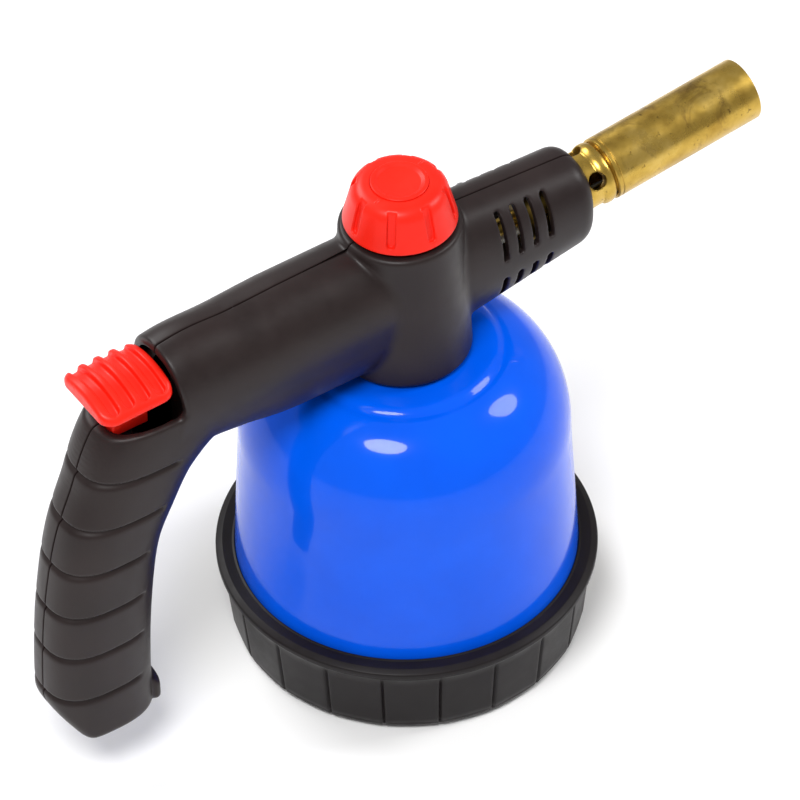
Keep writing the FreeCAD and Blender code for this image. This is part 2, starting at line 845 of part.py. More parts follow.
def housing():
    wall = size("wall")
    reach = size("handle_reach")
    heel = barrel_mid - size("handle_drop")

    # slanted heel at the handle's lower back corner
    chamfer = doc.addObject("Part::Box", "heel_cut")
    bind(chamfer, Length=45, Width=60, Height=20)
    slant = Rotation(AXIS_Y, size("heel_slant").value)
    corner = Vector(-(reach + size("handle_depth")).value, 0, (heel + size("heel_cut_height")).value)
    chamfer.Placement = Placement(corner + slant.multVec(Vector(-15, -30, -20)), slant)

    # grooves round the back of the handle
    shallow = size("grip_groove_depth")
    half = size("grip_groove_width") / 2
    grooves = []
    for index in range(GRIP_GROOVES):
        level = heel + 16.7 + 15.0 * index
        end = -reach + 8.0 + 0.45 * index * index
        grooves.append(box((-reach - 30, -30, level - half), (end, 30, level + half)))
    grip_cuts = cut(gather(grooves), grip_form(shallow))

    # air slots through both sides of the front barrel
    slots = []
    half_slot = size("slot_width") / 2
    for index in range(AIR_SLOTS):
        middle = size("column_low_radius") + 6.9 + size("slot_pitch") * index
        rear, front = middle - half_slot, middle + half_slot
        slots.append(box((rear, -30, barrel_mid + 4), (front, 30, barrel_mid + 17 - index)))
        slots.append(box((rear, -30, barrel_mid - 11), (front, 30, barrel_mid - 4)))
    burner_at = (0, 0, burner_height)
    neck_hole = rod(burner_at, AXIS_Y, burner_turn, size("neck_radius") + 0.1, size("front_length") + 10)
    neck_cut = cut(neck_hole, rod((0, 0, burner_height - 30), AXIS_Z, 0, 30, 60))
    gland_room = size("gland_across") / math.sqrt(3) + 0.5
    gland_hole = rod((0, 0, column_top - 10), AXIS_Z, 0, gland_room, 12)
    stem_half = size("button_stem_width") / 2 + 0.4
    stem_hole = box((button_x - stem_half, -stem_half, pocket_z - wall - 4),
                    (button_x + stem_half, stem_half, pocket_z + 1))

    # screw bosses, each with a hole from the left side
    spots = [
        (-reach, heel + 23.0),
        (-reach + 5.5, heel + 60.0),
        (-reach + 52.0, barrel_mid + 6.5),
        (-size("column_low_radius") - 6.0, barrel_mid - 15.0),
        (size("column_low_radius") + 5.5, barrel_mid + 14.0),
    ]
    bosses, holes, screws = [], [], []
    seat = size("screw_seat")
    reach_in = size("screw_reach")
    shank = size("screw_radius")
    head = size("screw_head_radius")
    head_top = seat + size("screw_head_height")
    for x, z in spots:
        bosses.append(rod((x, 30, z), AXIS_X, 90, size("boss_radius"), 60))
        holes.append(rod((x, seat + 1, z), AXIS_X, 90, shank + 0.05, reach_in + 1.5))
        holes.append(rod((x, 30, z), AXIS_X, 90, head + 0.15, 30 - seat))
        stalk = rod((x, seat + 0.05, z), AXIS_X, 90, shank, reach_in)
        pan = rod((x, head_top, z), AXIS_X, 90, head, size("screw_head_height") - 0.02)
        socket = rod((x, head_top + 1, z), AXIS_X, 90, 1.0, 2)
        screws.append(cut(fuse(stalk, pan), socket))
    keep(gather(screws), "housing_screws")

    half_seam = size("seam") / 2
    outer_forms = [grip_form(0), front_form(0), column_form(0)]
    inner_forms = [grip_form(wall), front_form(wall), column_form(wall)]
    sides = {
        "housing_left": box((-200, half_seam, -50), (200, 60, 300)),
        "housing_right": box((-200, -60, -50), (200, -half_seam, 300)),
    }
    tools = holes + slots + [chamfer, grip_cuts, neck_cut, gland_hole, stem_hole]
    for label, side in sides.items():
        outer = housing_form(outer_forms, pocket(0), side)
        shell = cut(outer, housing_form(inner_forms, pocket(wall), side))
        keep(cut(fuse(shell, common(gather(bosses), outer)), *tools), label)


def igniter():
    half = size("button_half_width")
    length = size("button_length")
    thick = size("button_thick")
    stem = size("button_stem_width") / 2
    crown = size("button_crown_radius")
    peak = thick + size("button_crown")
    slab = box((-length / 2, -half, 0), (length / 2, half, peak + 1))
    arch = rod((-length, 0, peak - crown), AXIS_Y, 90, crown, length * 2)
    half_groove = size("button_groove_width") / 2
    floor = crown - size("button_groove_depth")
    grooves = []
    for index in range(BUTTON_GROOVES):
        middle = size("button_groove_pitch") * (index - (BUTTON_GROOVES - 1) / 2)
        valley = rod((-length, 0, peak - crown), AXIS_Y, 90, floor, length * 2)
        band = box((middle - half_groove, -half + 1.5, 0), (middle + half_groove, half - 1.5, peak + 2))
        grooves.append(cut(band, valley))
    cap = cut(common(slab, arch), gather(grooves))
    place(cap, (button_x, 0, button_low), AXIS_Y, -size("button_slope"))
    plug_low = pocket_z - size("wall") - 1
    plug = box((button_x - stem, -stem, plug_low), (button_x + stem, stem, button_low + 1))
    keep(fuse(cap, plug), "trigger_button")

    plunger = size("plunger_radius")
    body_top = plug_low - size("button_travel") - 2.5
    width = size("piezo_width") / 2
    body_low = body_top - size("piezo_length")
    case = box((button_x - width, -width, body_low), (button_x + width, width, body_top))
    well = rod((button_x, 0, body_top - 12), AXIS_Z, 0, plunger + 0.1, 13)
    keep(cut(case, well), "piezo_body")
    keep(rod((button_x, 0, body_top - 4), AXIS_Z, 0, plunger, plug_low - body_top + 3.98), "piezo_plunger")

    # the high-voltage lead, straight runs joined by tangent arcs
    along, down = off_axis_shift()
    start_w = size("neck_start") - 8
    tilt = math.radians(size("burner_tilt").value)
    end = Vector(start_w.value * math.cos(tilt) + along.value, 0,
                 burner_height.value + start_w.value * math.sin(tilt) - down.value)
    back = Vector(-math.cos(tilt), 0, -math.sin(tilt))
    front = (button_x + width).value
    mid = barrel_mid.value
    route = [
        Vector(front, 0, body_top.value - 3.5),
        Vector(front + 10, 0, body_top.value - 3.5),
        Vector(front + 30, 4, mid - 7),
        Vector(-30, 7.6, mid - 6.6),
        Vector(-9, 10.4, mid - 6.3),
        Vector(9, 10.4, mid - 5.5),
        end + back * 9,
        end,
    ]
    lead = doc.addObject("Part::Feature", "ignition_lead")
    lead.Shape = tube_along(route, size("lead_radius").value)
    keep(lead, "ignition_lead")


def tube_along(route, radius):
    """A round tube along straight runs joined by the largest tangent arcs."""
    edges = []
    start = route[0]
    for before, corner, after in zip(route, route[1:], route[2:]):
        into = (corner - before).normalize()
        out = (after - corner).normalize()
        cutoff = 0.45 * min((corner - before).Length, (after - corner).Length)
        turn = into.getAngle(out)
        bend = cutoff / math.tan(turn / 2)
        begin = corner - into * cutoff
        finish = corner + out * cutoff
        inward = (out - into).normalize()
        middle = corner + inward * (bend / math.cos(turn / 2) - bend)
        edges.append(Part.LineSegment(start, begin).toShape())
        edges.append(Part.Arc(begin, middle, finish).toShape())
        start = finish
    edges.append(Part.LineSegment(start, route[-1]).toShape())
    spine = Part.Wire(edges)
    heading = (route[1] - route[0]).normalize()
    section = Part.Wire([Part.Circle(route[0], heading, radius).toShape()])
    solid = spine.makePipeShell([section], True, False)
    return solid


base_cap()
collar_ring()
canister_cup()
gas_cartridge()
valve()
stem_and_knob()
burner()
housing()
igniter()
doc.recompute()

for thing in doc.Objects:
    if "Invalid" in thing.State or "Error" in thing.State:
        raise RuntimeError(f"{thing.Name} ({thing.Label}) did not build: {thing.State}")
for piece in parts:
    if piece.Shape.isNull() or not piece.Shape.isValid() or not piece.Shape.Solids:
        raise RuntimeError(f"{piece.Label} has no valid solid")

os.makedirs("parts", exist_ok=True)
for piece in parts:
    piece.Shape.exportStep(f"parts/{piece.Label}.step")
    print(piece.Label, len(piece.Shape.Solids), round(piece.Shape.Volume, 1))
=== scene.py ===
import json
import math

import bmesh
import bpy
import numpy as np
import openvdb
from mathutils import Matrix, Vector


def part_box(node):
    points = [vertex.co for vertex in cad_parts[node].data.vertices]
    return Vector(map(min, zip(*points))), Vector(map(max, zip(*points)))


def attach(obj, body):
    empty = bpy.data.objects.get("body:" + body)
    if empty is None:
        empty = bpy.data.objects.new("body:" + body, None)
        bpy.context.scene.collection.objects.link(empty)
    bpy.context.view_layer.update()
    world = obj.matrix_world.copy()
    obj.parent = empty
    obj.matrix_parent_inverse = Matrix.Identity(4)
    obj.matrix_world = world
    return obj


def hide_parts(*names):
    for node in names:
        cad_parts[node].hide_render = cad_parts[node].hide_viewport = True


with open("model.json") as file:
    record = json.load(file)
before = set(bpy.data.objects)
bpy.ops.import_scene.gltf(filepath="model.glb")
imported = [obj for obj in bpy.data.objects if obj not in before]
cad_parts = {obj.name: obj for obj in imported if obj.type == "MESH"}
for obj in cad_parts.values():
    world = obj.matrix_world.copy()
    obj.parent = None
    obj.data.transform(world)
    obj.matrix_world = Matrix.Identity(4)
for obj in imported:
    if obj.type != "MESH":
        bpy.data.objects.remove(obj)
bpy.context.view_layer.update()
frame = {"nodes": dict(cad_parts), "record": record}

MM = 0.001


# ---------------------------------------------------------------- places read from the frame, in mm

def span(node):
    """Lowest and highest corner of a CAD node, in millimetres."""
    low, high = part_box(node)
    return np.array(low) / MM, np.array(high) / MM


def mount(name):
    """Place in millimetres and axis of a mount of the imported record."""
    found = [item for item in frame["record"]["mounts"] if item["name"] == name][0]
    return np.array(found["pos_m"]) / MM, np.array(found["axis"])


CUP_LOW, CUP_HIGH = span("canister_cup")
COLLAR_LOW, COLLAR_HIGH = span("collar_ring")
CAP_HIGH = span("base_cap")[1]
KNOB_LOW, KNOB_HIGH = span("control_knob")
KNOB_CAP_LOW, KNOB_CAP_HIGH = span("knob_cap")
BUTTON_LOW, BUTTON_HIGH = span("trigger_button")
SHELL_LOW = span("housing_right")[0]
BURNER_POINT, BURNER_AXIS = mount("burner_barrel")
BURNER_TILT = math.atan2(BURNER_AXIS[2], BURNER_AXIS[0])
BURNER_HEIGHT = BURNER_POINT[2] - BURNER_POINT[0] * math.tan(BURNER_TILT)


# ---------------------------------------------------------------- camera

CAMERA_AZIMUTH = math.radians(-33.0)
CAMERA_HEIGHT = math.radians(44.42)
CAMERA_ROLL = math.radians(-1.208)
CAMERA_DISTANCE = 1.6124
CAMERA_TARGET = (-0.00106, 0.0811)
CAMERA_LENS = 260.56


def make_camera():
    away = Vector((math.sin(CAMERA_AZIMUTH) * math.cos(CAMERA_HEIGHT),
                   -math.cos(CAMERA_AZIMUTH) * math.cos(CAMERA_HEIGHT),
                   math.sin(CAMERA_HEIGHT)))
    right = (-away).cross(Vector((0, 0, 1))).normalized()
    up = right.cross(-away)
    turned_right = right * math.cos(CAMERA_ROLL) + up * math.sin(CAMERA_ROLL)
    turned_up = up * math.cos(CAMERA_ROLL) - right * math.sin(CAMERA_ROLL)
    data = bpy.data.cameras.new("camera")
    data.lens = CAMERA_LENS
    data.sensor_width = 36.0
    data.clip_start = 0.05
    data.clip_end = 20.0
    camera = bpy.data.objects.new("camera", data)
    place = away * CAMERA_DISTANCE + right * CAMERA_TARGET[0] + Vector((0, 0, CAMERA_TARGET[1]))
    axes = Matrix((turned_right, turned_up, away)).transposed()
    camera.matrix_world = Matrix.Translation(place) @ axes.to_4x4()
    bpy.context.scene.collection.objects.link(camera)
    bpy.context.scene.camera = camera


make_camera()


# ---------------------------------------------------------------- material nodes

class Nodes:
    """Short ways to add and join the nodes of one material."""

    def __init__(self, name):
        self.material = bpy.data.materials.new(name)
        self.material.use_nodes = True
        self.tree = self.material.node_tree
        self.shader = self.tree.nodes["Principled BSDF"]
        coords = self.tree.nodes.new("ShaderNodeTexCoord")
        self.place = coords.outputs["Object"]

    def set(self, **values):
        for name, value in values.items():
            self.shader.inputs[name.replace("_", " ")].default_value = value

    def link(self, source, target):
        self.tree.links.new(source, target)
        return target

    def noise(self, scale, detail=4.0, rough=0.55, stretch=None, distort=0.0):
        node = self.tree.nodes.new("ShaderNodeTexNoise")
        node.inputs["Scale"].default_value = scale
        node.inputs["Detail"].default_value = detail
        node.inputs["Roughness"].default_value = rough
        node.inputs["Distortion"].default_value = distort
        source = self.place
        if stretch is not None:
            mapping = self.tree.nodes.new("ShaderNodeMapping")
            mapping.inputs["Rotation"].default_value = stretch[0]
            mapping.inputs["Scale"].default_value = stretch[1]
            self.link(source, mapping.inputs["Vector"])
            source = mapping.outputs["Vector"]
        self.link(source, node.inputs["Vector"])
        return node.outputs["Fac"]

    def ramp(self, source, stops):
        node = self.tree.nodes.new("ShaderNodeValToRGB")
        band = node.color_ramp
        while len(band.elements) < len(stops):
            band.elements.new(0.5)
        for element, (position, colour) in zip(band.elements, stops):
            element.position = position
            element.color = (*colour, 1.0) if len(colour) == 3 else colour
        self.link(source, node.inputs["Fac"])
        return node.outputs["Color"]

    def remap(self, source, low, high, to_low, to_high):
        node = self.tree.nodes.new("ShaderNodeMapRange")
        node.inputs["From Min"].default_value = low
        node.inputs["From Max"].default_value = high
        node.inputs["To Min"].default_value = to_low
        node.inputs["To Max"].default_value = to_high
        self.link(source, node.inputs["Value"])
        return node.outputs["Result"]

    def mix(self, factor, first, second, kind="MIX"):
        node = self.tree.nodes.new("ShaderNodeMix")
        node.data_type = "RGBA"
        node.blend_type = kind
        for value, socket in ((factor, node.inputs[0]), (first, node.inputs[6]), (second, node.inputs[7])):
            if isinstance(value, (int, float)):
                socket.default_value = value
            elif isinstance(value, tuple):
                socket.default_value = (*value, 1.0)
            else:
                self.link(value, socket)
        return node.outputs[2]

    def bump(self, source, strength, distance, before=None):
        node = self.tree.nodes.new("ShaderNodeBump")
        node.inputs["Strength"].default_value = strength
        node.inputs["Distance"].default_value = distance
        self.link(source, node.inputs["Height"])
        if before is not None:
            self.link(before, node.inputs["Normal"])
        return node.outputs["Normal"]

    def colour(self, source):
        self.link(source, self.shader.inputs["Base Color"])

    def roughness(self, source):
        self.link(source, self.shader.inputs["Roughness"])

    def normal(self, source):
        self.link(source, self.shader.inputs["Normal"])


def plastic(name, dark, light, rough, grain, grain_depth, gloss, mottle=60.0):
    """Moulded plastic: fine eroded grain, faint cloudy colour, uneven sheen."""
    n = Nodes(name)
    cloud = n.noise(mottle, 5.0)
    n.colour(n.ramp(cloud, [(0.3, dark), (0.7, light)]))
    fine = n.noise(grain, 3.0, 0.6)
    n.roughness(n.remap(n.noise(mottle * 4, 4.0), 0.3, 0.7, rough - 0.04, rough + 0.05))
    n.normal(n.bump(fine, 0.35, grain_depth))
    n.set(IOR=1.5, Specular_IOR_Level=gloss)
    return n.material


def blue_enamel():
    n = Nodes("blue_enamel")
    n.colour(n.ramp(n.noise(30.0, 4.0), [(0.3, (0.0, 0.085, 0.72)), (0.7, (0.0, 0.105, 0.84))]))
    n.roughness(n.remap(n.noise(90.0, 4.0), 0.3, 0.7, 0.16, 0.24))
    peel = n.noise(420.0, 2.0)
    n.normal(n.bump(peel, 0.05, 0.00006))
    n.set(Specular_IOR_Level=0.05, Coat_Weight=0.42, Coat_Roughness=0.035, Coat_IOR=1.45)
    return n.material


def brass(name, tarnish):
    n = Nodes(name)
    turned = n.noise(1.0, 3.0, 0.6, ((0.0, BURNER_TILT, 0.0), (5200.0, 90.0, 90.0)))
    cloud = n.noise(70.0, 6.0, 0.62)
    tones = [(0.30, (0.36, 0.215, 0.036)), (0.52, (0.56, 0.37, 0.075)), (0.75, (0.70, 0.50, 0.15))]
    base = n.ramp(cloud, tones)
    spots = n.remap(n.noise(85.0, 7.0, 0.7, distort=0.8), 0.56, 0.70, 0.0, tarnish)
    specks = n.remap(n.noise(420.0, 3.0, 0.6), 0.66, 0.74, 0.0, 0.85 * tarnish)
    stained = n.mix(spots, base, (0.17, 0.095, 0.03))
    n.colour(n.mix(specks, stained, (0.07, 0.035, 0.015)))
    n.set(Metallic=1.0)
    n.roughness(n.remap(n.noise(200.0, 6.0, 0.6), 0.3, 0.75, 0.22, 0.42))
    n.normal(n.bump(turned, 0.12, 0.00002, n.bump(cloud, 0.2, 0.00006)))
    return n.material


def metal(name, dark, light, rough):
    n = Nodes(name)
    n.colour(n.ramp(n.noise(300.0, 5.0), [(0.3, dark), (0.7, light)]))
    n.set(Metallic=1.0)
    n.roughness(n.remap(n.noise(900.0, 4.0), 0.3, 0.7, rough - 0.06, rough + 0.06))
    n.normal(n.bump(n.noise(2500.0, 2.0), 0.1, 0.00002))
    return n.material


def soft(name, dark, light, rough):
    """Rubber, silicone and ceramic: a fine even skin."""
    n = Nodes(name)
    n.colour(n.ramp(n.noise(400.0, 4.0), [(0.3, dark), (0.7, light)]))
    n.roughness(n.remap(n.noise(1200.0, 3.0), 0.3, 0.7, rough - 0.05, rough + 0.05))
    n.normal(n.bump(n.noise(3000.0, 2.0), 0.2, 0.00002))
    return n.material


BLACK = plastic("black_plastic", (0.0135, 0.0082, 0.0080), (0.0195, 0.0122, 0.0118),
                0.40, 2600.0, 0.00005, 0.27)
BASE = plastic("base_plastic", (0.0075, 0.0056, 0.0060), (0.0115, 0.0086, 0.0092),
               0.42, 2200.0, 0.00004, 0.17)
RED = plastic("red_plastic", (0.78, 0.012, 0.004), (0.86, 0.018, 0.007), 0.36, 1800.0, 0.00002, 0.22)
BLUE = blue_enamel()
BURNER_BRASS = brass("burner_brass", 0.8)
INNER_BRASS = brass("turned_brass", 0.25)
STEEL = metal("zinc_steel", (0.42, 0.42, 0.44), (0.62, 0.62, 0.63), 0.34)
TIN = metal("tinplate", (0.60, 0.61, 0.64), (0.72, 0.73, 0.75), 0.28)
RUBBER = soft("seal_rubber", (0.010, 0.010, 0.010), (0.020, 0.020, 0.021), 0.6)
CERAMIC = soft("alumina", (0.74, 0.71, 0.64), (0.84, 0.82, 0.77), 0.35)
PIEZO = soft("piezo_case", (0.035, 0.035, 0.038), (0.06, 0.06, 0.065), 0.45)
SLEEVE = soft("silicone_sleeve", (0.34, 0.014, 0.010), (0.46, 0.025, 0.016), 0.5)
SLOT_MATERIALS = {
    "black_plastic": BLACK, "base_plastic": BASE, "blue_paint": BLUE, "red_plastic": RED,
    "burner_brass": BURNER_BRASS, "brass_inner": INNER_BRASS, "screw_steel": STEEL, "tinplate": TIN,
    "seal_rubber": RUBBER, "ceramic": CERAMIC, "piezo_plastic": PIEZO, "lead_jacket": SLEEVE,
}


def dress_cad_nodes():
    """Gives every CAD node the detailed material of its slot."""
    slots = {item["node"]: item["material_slot"] for item in frame["record"]["subparts"]}
    for node, thing in frame["nodes"].items():
        material = SLOT_MATERIALS[slots[node]]
        if not thing.material_slots:
            thing.data.materials.append(material)
        for slot in thing.material_slots:
            slot.link = "OBJECT"
            slot.material = material


dress_cad_nodes()


# ---------------------------------------------------------------- mesh helpers

def make_object(name, points, faces, material, sharp=35.0):
    mesh = bpy.data.meshes.new(name)
    mesh.from_pydata([tuple(point) for point in points], [], [tuple(face) for face in faces])
    mesh.update()
    thing = bpy.data.objects.new(name, mesh)
    bpy.context.scene.collection.objects.link(thing)
    finish_mesh(thing, material, sharp)
    return thing


def finish_mesh(thing, material, sharp):
    work = bmesh.new()
    work.from_mesh(thing.data)
    bmesh.ops.recalc_face_normals(work, faces=work.faces)
    work.to_mesh(thing.data)
    work.free()
    thing.data.shade_smooth()
    thing.data.set_sharp_from_angle(angle=math.radians(sharp))
    thing.data.materials.clear()
    thing.data.materials.append(material)


def rounded(points, steps=6):
    """An outline of (radius, height, fillet) with each corner turned into an arc."""
    smooth = []
    flat = [np.array(point[:2], float) for point in points]
    for index, point in enumerate(points):
        fillet = point[2] if len(point) > 2 else 0.0
        corner = flat[index]
        if fillet <= 0:
            smooth.append(corner)
            continue
        before = flat[index - 1] - corner
        after = flat[(index + 1) % len(flat)] - corner
        before /= np.linalg.norm(before)
        after /= np.linalg.norm(after)
        half = math.acos(np.clip(before @ after, -1, 1)) / 2
        reach = fillet / math.tan(half)
        middle = corner + (before + after) / np.linalg.norm(before + after) * fillet / math.sin(half)
        first = corner + before * reach - middle
        last = corner + after * reach - middle
        sweep = math.acos(np.clip(first @ last / fillet ** 2, -1, 1))
        for step in range(steps + 1):
            share = step / steps
            way = (math.sin((1 - share) * sweep) * first + math.sin(share * sweep) * last) / math.sin(sweep)
            smooth.append(middle + way)
    return smooth


def lathe(name, outline, material, closed=True, angles=None, radius_of=None, sharp=35.0, lay=None):
    """A turned piece: the outline swept round Z. radius_of(radius, height, angle) can shape it."""
    angles = np.linspace(0, 2 * math.pi, 192, endpoint=False) if angles is None else angles
    rings = len(outline)
    turns = len(angles)
    points = []
    for radius, height in outline:
        for angle in angles:
            reach = radius_of(radius, height, angle) if radius_of else radius
            points.append((reach * math.cos(angle) * MM, reach * math.sin(angle) * MM, height * MM))
    faces = []
    for ring in range(rings if closed else rings - 1):
        following = (ring + 1) % rings
        for turn in range(turns):
            beside = (turn + 1) % turns
            faces.append((ring * turns + turn, ring * turns + beside,
                          following * turns + beside, following * turns + turn))
    if not closed:
        faces.append(tuple(range(turns)))
        faces.append(tuple((rings - 1) * turns + turn for turn in reversed(range(turns))))
    thing = make_object(name, points, faces, material, sharp)
    if lay is not None:
        thing.data.transform(lay)
    return thing


def stand_for(thing, body, slot, *nodes):
    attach(thing, body)
    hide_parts(*nodes)


# ---------------------------------------------------------------- solids from distance fields

def smooth_min(first, second, blend):
    share = np.clip(0.5 + 0.5 * (second - first) / blend, 0, 1)
    return second * (1 - share) + first * share - blend * share * (1 - share)


def smooth_max(first, second, blend):
    return -smooth_min(-first, -second, blend)


def smooth_step(value, low, high):
    share = np.clip((value - low) / (high - low), 0, 1)
    return share * share * (3 - 2 * share)


def field_mesh(field, corner, pitch):
    """Points in mm and quads of a distance field's surface."""
    grid = openvdb.FloatGrid(background=3 * pitch)
    grid.copyFromArray(np.ascontiguousarray(np.clip(field, -3 * pitch, 3 * pitch), dtype=np.float32))
    grid.transform = openvdb.createLinearTransform(voxelSize=pitch)
    points, quads = grid.convertToQuads(isovalue=0.0)
    return points + np.array(corner), quads


def axes_of(low, high, pitch):
    return [np.arange(low[i], high[i] + pitch, pitch, dtype=np.float32) for i in range(3)]


def ellipse_distance(across, along, half_across, half_along, power):
    """Distance from a superellipse, measured along the ray from its centre."""
    ratio = (np.abs(across / half_across) ** power + np.abs(along / half_along) ** power) ** (1 / power)
    ratio = np.maximum(ratio, 1e-3)
    return np.sqrt(across ** 2 + along ** 2 + 1e-6) * (1 - 1 / ratio)


# ---------------------------------------------------------------- housing

HANDLE_X = -104.5
HEEL = SHELL_LOW[2]
COLUMN_LOW = CUP_HIGH[2] + 1.0
COLUMN_TOP = COLUMN_LOW + 44.7
MID = COLUMN_LOW + 21.9
FRONT = 57.4
# the ledge under the button: its front wall, height over MID and slope
POCKET_X = -77.5
LEDGE_RISE = 2.4
LEDGE_SLOPE = math.tan(math.radians(5))
BUTTON_TRAVEL = 5.5
BUTTON_ROOM = 1.8
WELL_DEPTH = 12.0
SKIN = 2.4
# centre line of the handle and rear barrel: x, z, half depth, half width
SPINE = [
    (HANDLE_X, HEEL - 6.0, 16.1, 12.4),
    (HANDLE_X, HEEL + 16.4, 16.1, 12.4),
    (HANDLE_X + 1.8, HEEL + 41.2, 16.0, 12.4),
    (HANDLE_X + 5.8, HEEL + 64.9, 15.7, 12.6),
    (HANDLE_X + 12.1, HEEL + 80.4, 16.2, 12.9),
    (HANDLE_X + 20.0, HEEL + 95.3, 18.0, 13.2),
    (HANDLE_X + 33.0, MID + 0.3, 19.0, 13.6),
    (HANDLE_X + 47.9, MID - 0.2, 18.7, 13.9),
    (HANDLE_X + 62.0, MID - 1.2, 20.2, 14.0),
    (-26.0, MID - 0.8, 21.0, 14.1),
    (8.0, MID - 0.1, 21.2, 14.1),
]


def spine_curve(count=360):
    """The spine's stations joined by a smooth curve, as rows of x, z, depth, width."""
    stations = np.array(SPINE)
    padded = np.vstack([2 * stations[0] - stations[1], stations, 2 * stations[-1] - stations[-2]])
    rows = []
    per_span = count // (len(stations) - 1)
    for index in range(1, len(padded) - 2):
        a, b, c, d = padded[index - 1:index + 3]
        for step in range(per_span):
            t = step / per_span
            rows.append(0.5 * ((2 * b) + (c - a) * t + (2 * a - 5 * b + 4 * c - d) * t ** 2
                               + (3 * b - a - 3 * c + d) * t ** 3))
    rows.append(stations[-1])
    return np.array(rows, dtype=np.float32)


def grip_field(x, y, z):
    """Distance from the bent tube of handle and rear barrel."""
    curve = spine_curve()
    tangents = np.gradient(curve[:, :2], axis=0)
    tangents /= np.linalg.norm(tangents, axis=1)[:, None]
    plane_x, plane_z = np.meshgrid(x, z, indexing="ij")
    nearest = np.empty(plane_x.shape, dtype=np.int32)
    for row in range(plane_x.shape[0]):
        gap_x = plane_x[row][:, None] - curve[None, :, 0]
        gap_z = plane_z[row][:, None] - curve[None, :, 1]
        nearest[row] = np.argmin(gap_x ** 2 + gap_z ** 2, axis=1)
    point = curve[nearest]
    way = tangents[nearest]
    offset = (plane_x - point[..., 0]) * -way[..., 1] + (plane_z - point[..., 1]) * way[..., 0]
    # the sides of the handle are flatter than those of the barrel
    power = 2.15 + 0.45 * smooth_step(-plane_x, 60, 90)
    tube = ellipse_distance(offset[:, None, :], y[None, :, None], point[..., 2][:, None, :],
                            point[..., 3][:, None, :], power[:, None, :])
    return np.maximum(tube, (plane_x - 5)[:, None, :])


def barrel_field(x, y, z):
    """Distance from the upper tube that runs from the button to the column."""
    plane_x, plane_z = np.meshgrid(x, z, indexing="ij")
    half_width = 14.6 - 1.5 * smooth_step(-plane_x, 40, 85)
    middle = MID + 5.0 - 0.05 * np.maximum(-plane_x - 40, 0)
    tube = ellipse_distance((plane_z - middle)[:, None, :], y[None, :, None],
                            15.4, half_width[:, None, :], 2.1)
    return np.maximum(tube, np.maximum(plane_x - 5, -plane_x - 78.2)[:, None, :])


def front_field(x, y, z):
    """Distance from the front barrel, which slims to the burner and has a rounded end."""
    plane_x, plane_z = np.meshgrid(x, z, indexing="ij")
    centre = MID + 0.1 + plane_x * 0.0777
    depth = 21.8 - plane_x * 0.133
    width = 13.4 - plane_x * 0.017
    tube = ellipse_distance((plane_z - centre)[:, None, :], y[None, :, None], depth[:, None, :],
                            width[:, None, :], 2.25)
    tube = np.maximum(tube, (-5 - plane_x)[:, None, :])
    return smooth_max(tube, (plane_x - FRONT)[:, None, :], 5.0)


def column_field(x, y, z):
    reach = np.sqrt(x[:, None] ** 2 + y[None, :] ** 2)[:, :, None]
    slim = 19.4 - (z - COLUMN_LOW) * 2.4 / 44.7
    cone = reach - slim[None, None, :]
    ends = np.maximum(z - COLUMN_TOP, COLUMN_LOW - z)[None, None, :]
    return smooth_max(cone, ends, 1.6)


# grip grooves: level and front end, with the levels given for a heel at GROOVE_DATUM
GROOVE_DATUM = 20.6
GROOVES = [(37.3, -94.8), (53.4, -93.4), (68.4, -92.4), (83.6, -90.2), (98.3, -84.8), (113.2, -79.4)]


def groove_depth(x, z):
    """How far the grip grooves sink the surface, in mm."""
    plane_x, plane_z = np.meshgrid(x, z, indexing="ij")
    total = np.zeros_like(plane_x)
    for level, end in GROOVES:
        above = plane_z - level - HEEL + GROOVE_DATUM
        width = np.where(above > 0, 0.42, 0.95)
        fade = 1 - smooth_step(plane_x, end - 2.5, end + 0.4)
        total += 0.95 * np.exp(-(above / width) ** 2) * fade
    return total[:, None, :]


SLOT_X = [26.3, 31.3, 36.3, 41.3]
SLOT_RADIUS = 0.88
# x and z of the screws, which enter from the left
SCREW_SPOTS = [(-104.5, 43.6), (-99.0, 80.6), (-52.5, 132.7), (-25.4, 111.2), (24.9, 140.2)]


def slot_field(x, z):
    """The air slots, through both sides of the front barrel."""
    plane_x, plane_z = np.meshgrid(x, z, indexing="ij")
    best = np.full(plane_x.shape, 50.0, dtype=np.float32)
    for number, middle in enumerate(SLOT_X):
        upper = (MID + 10.6 + number * 0.1, 6.3 - 0.25 * number)
        lower = (MID - 7.0 + number * 0.4, 3.2)
        for centre, half in (upper, lower):
            past = np.maximum(np.abs(plane_z - centre) - half, 0)
            best = np.minimum(best, np.sqrt((plane_x - middle) ** 2 + past ** 2) - SLOT_RADIUS)
    return best[:, None, :]


def pocket_field(x, z):
    """The corner left open for the button: negative inside the opening."""
    plane_x, plane_z = np.meshgrid(x, z, indexing="ij")
    wall = (plane_x - POCKET_X) + (plane_z - MID - LEDGE_RISE) * LEDGE_SLOPE
    floor = (MID + LEDGE_RISE - 0.4) + (plane_x - POCKET_X) * LEDGE_SLOPE - plane_z
    return smooth_max(wall, floor, 3.0)


def heel_cut(body, x, z):
    """Cuts the heel flat, with a slanted back corner."""
    plane_x, plane_z = np.meshgrid(x, z, indexing="ij")
    slant = math.radians(57)
    corner_x, corner_z = HANDLE_X - 16.3, HEEL + 11.9
    back = -(plane_x - corner_x) * math.sin(slant) - (plane_z - corner_z) * math.cos(slant)
    body = smooth_max(body, (HEEL + 0.05 - plane_z)[:, None, :], 2.4)
    return smooth_max(body, back[:, None, :], 2.2)


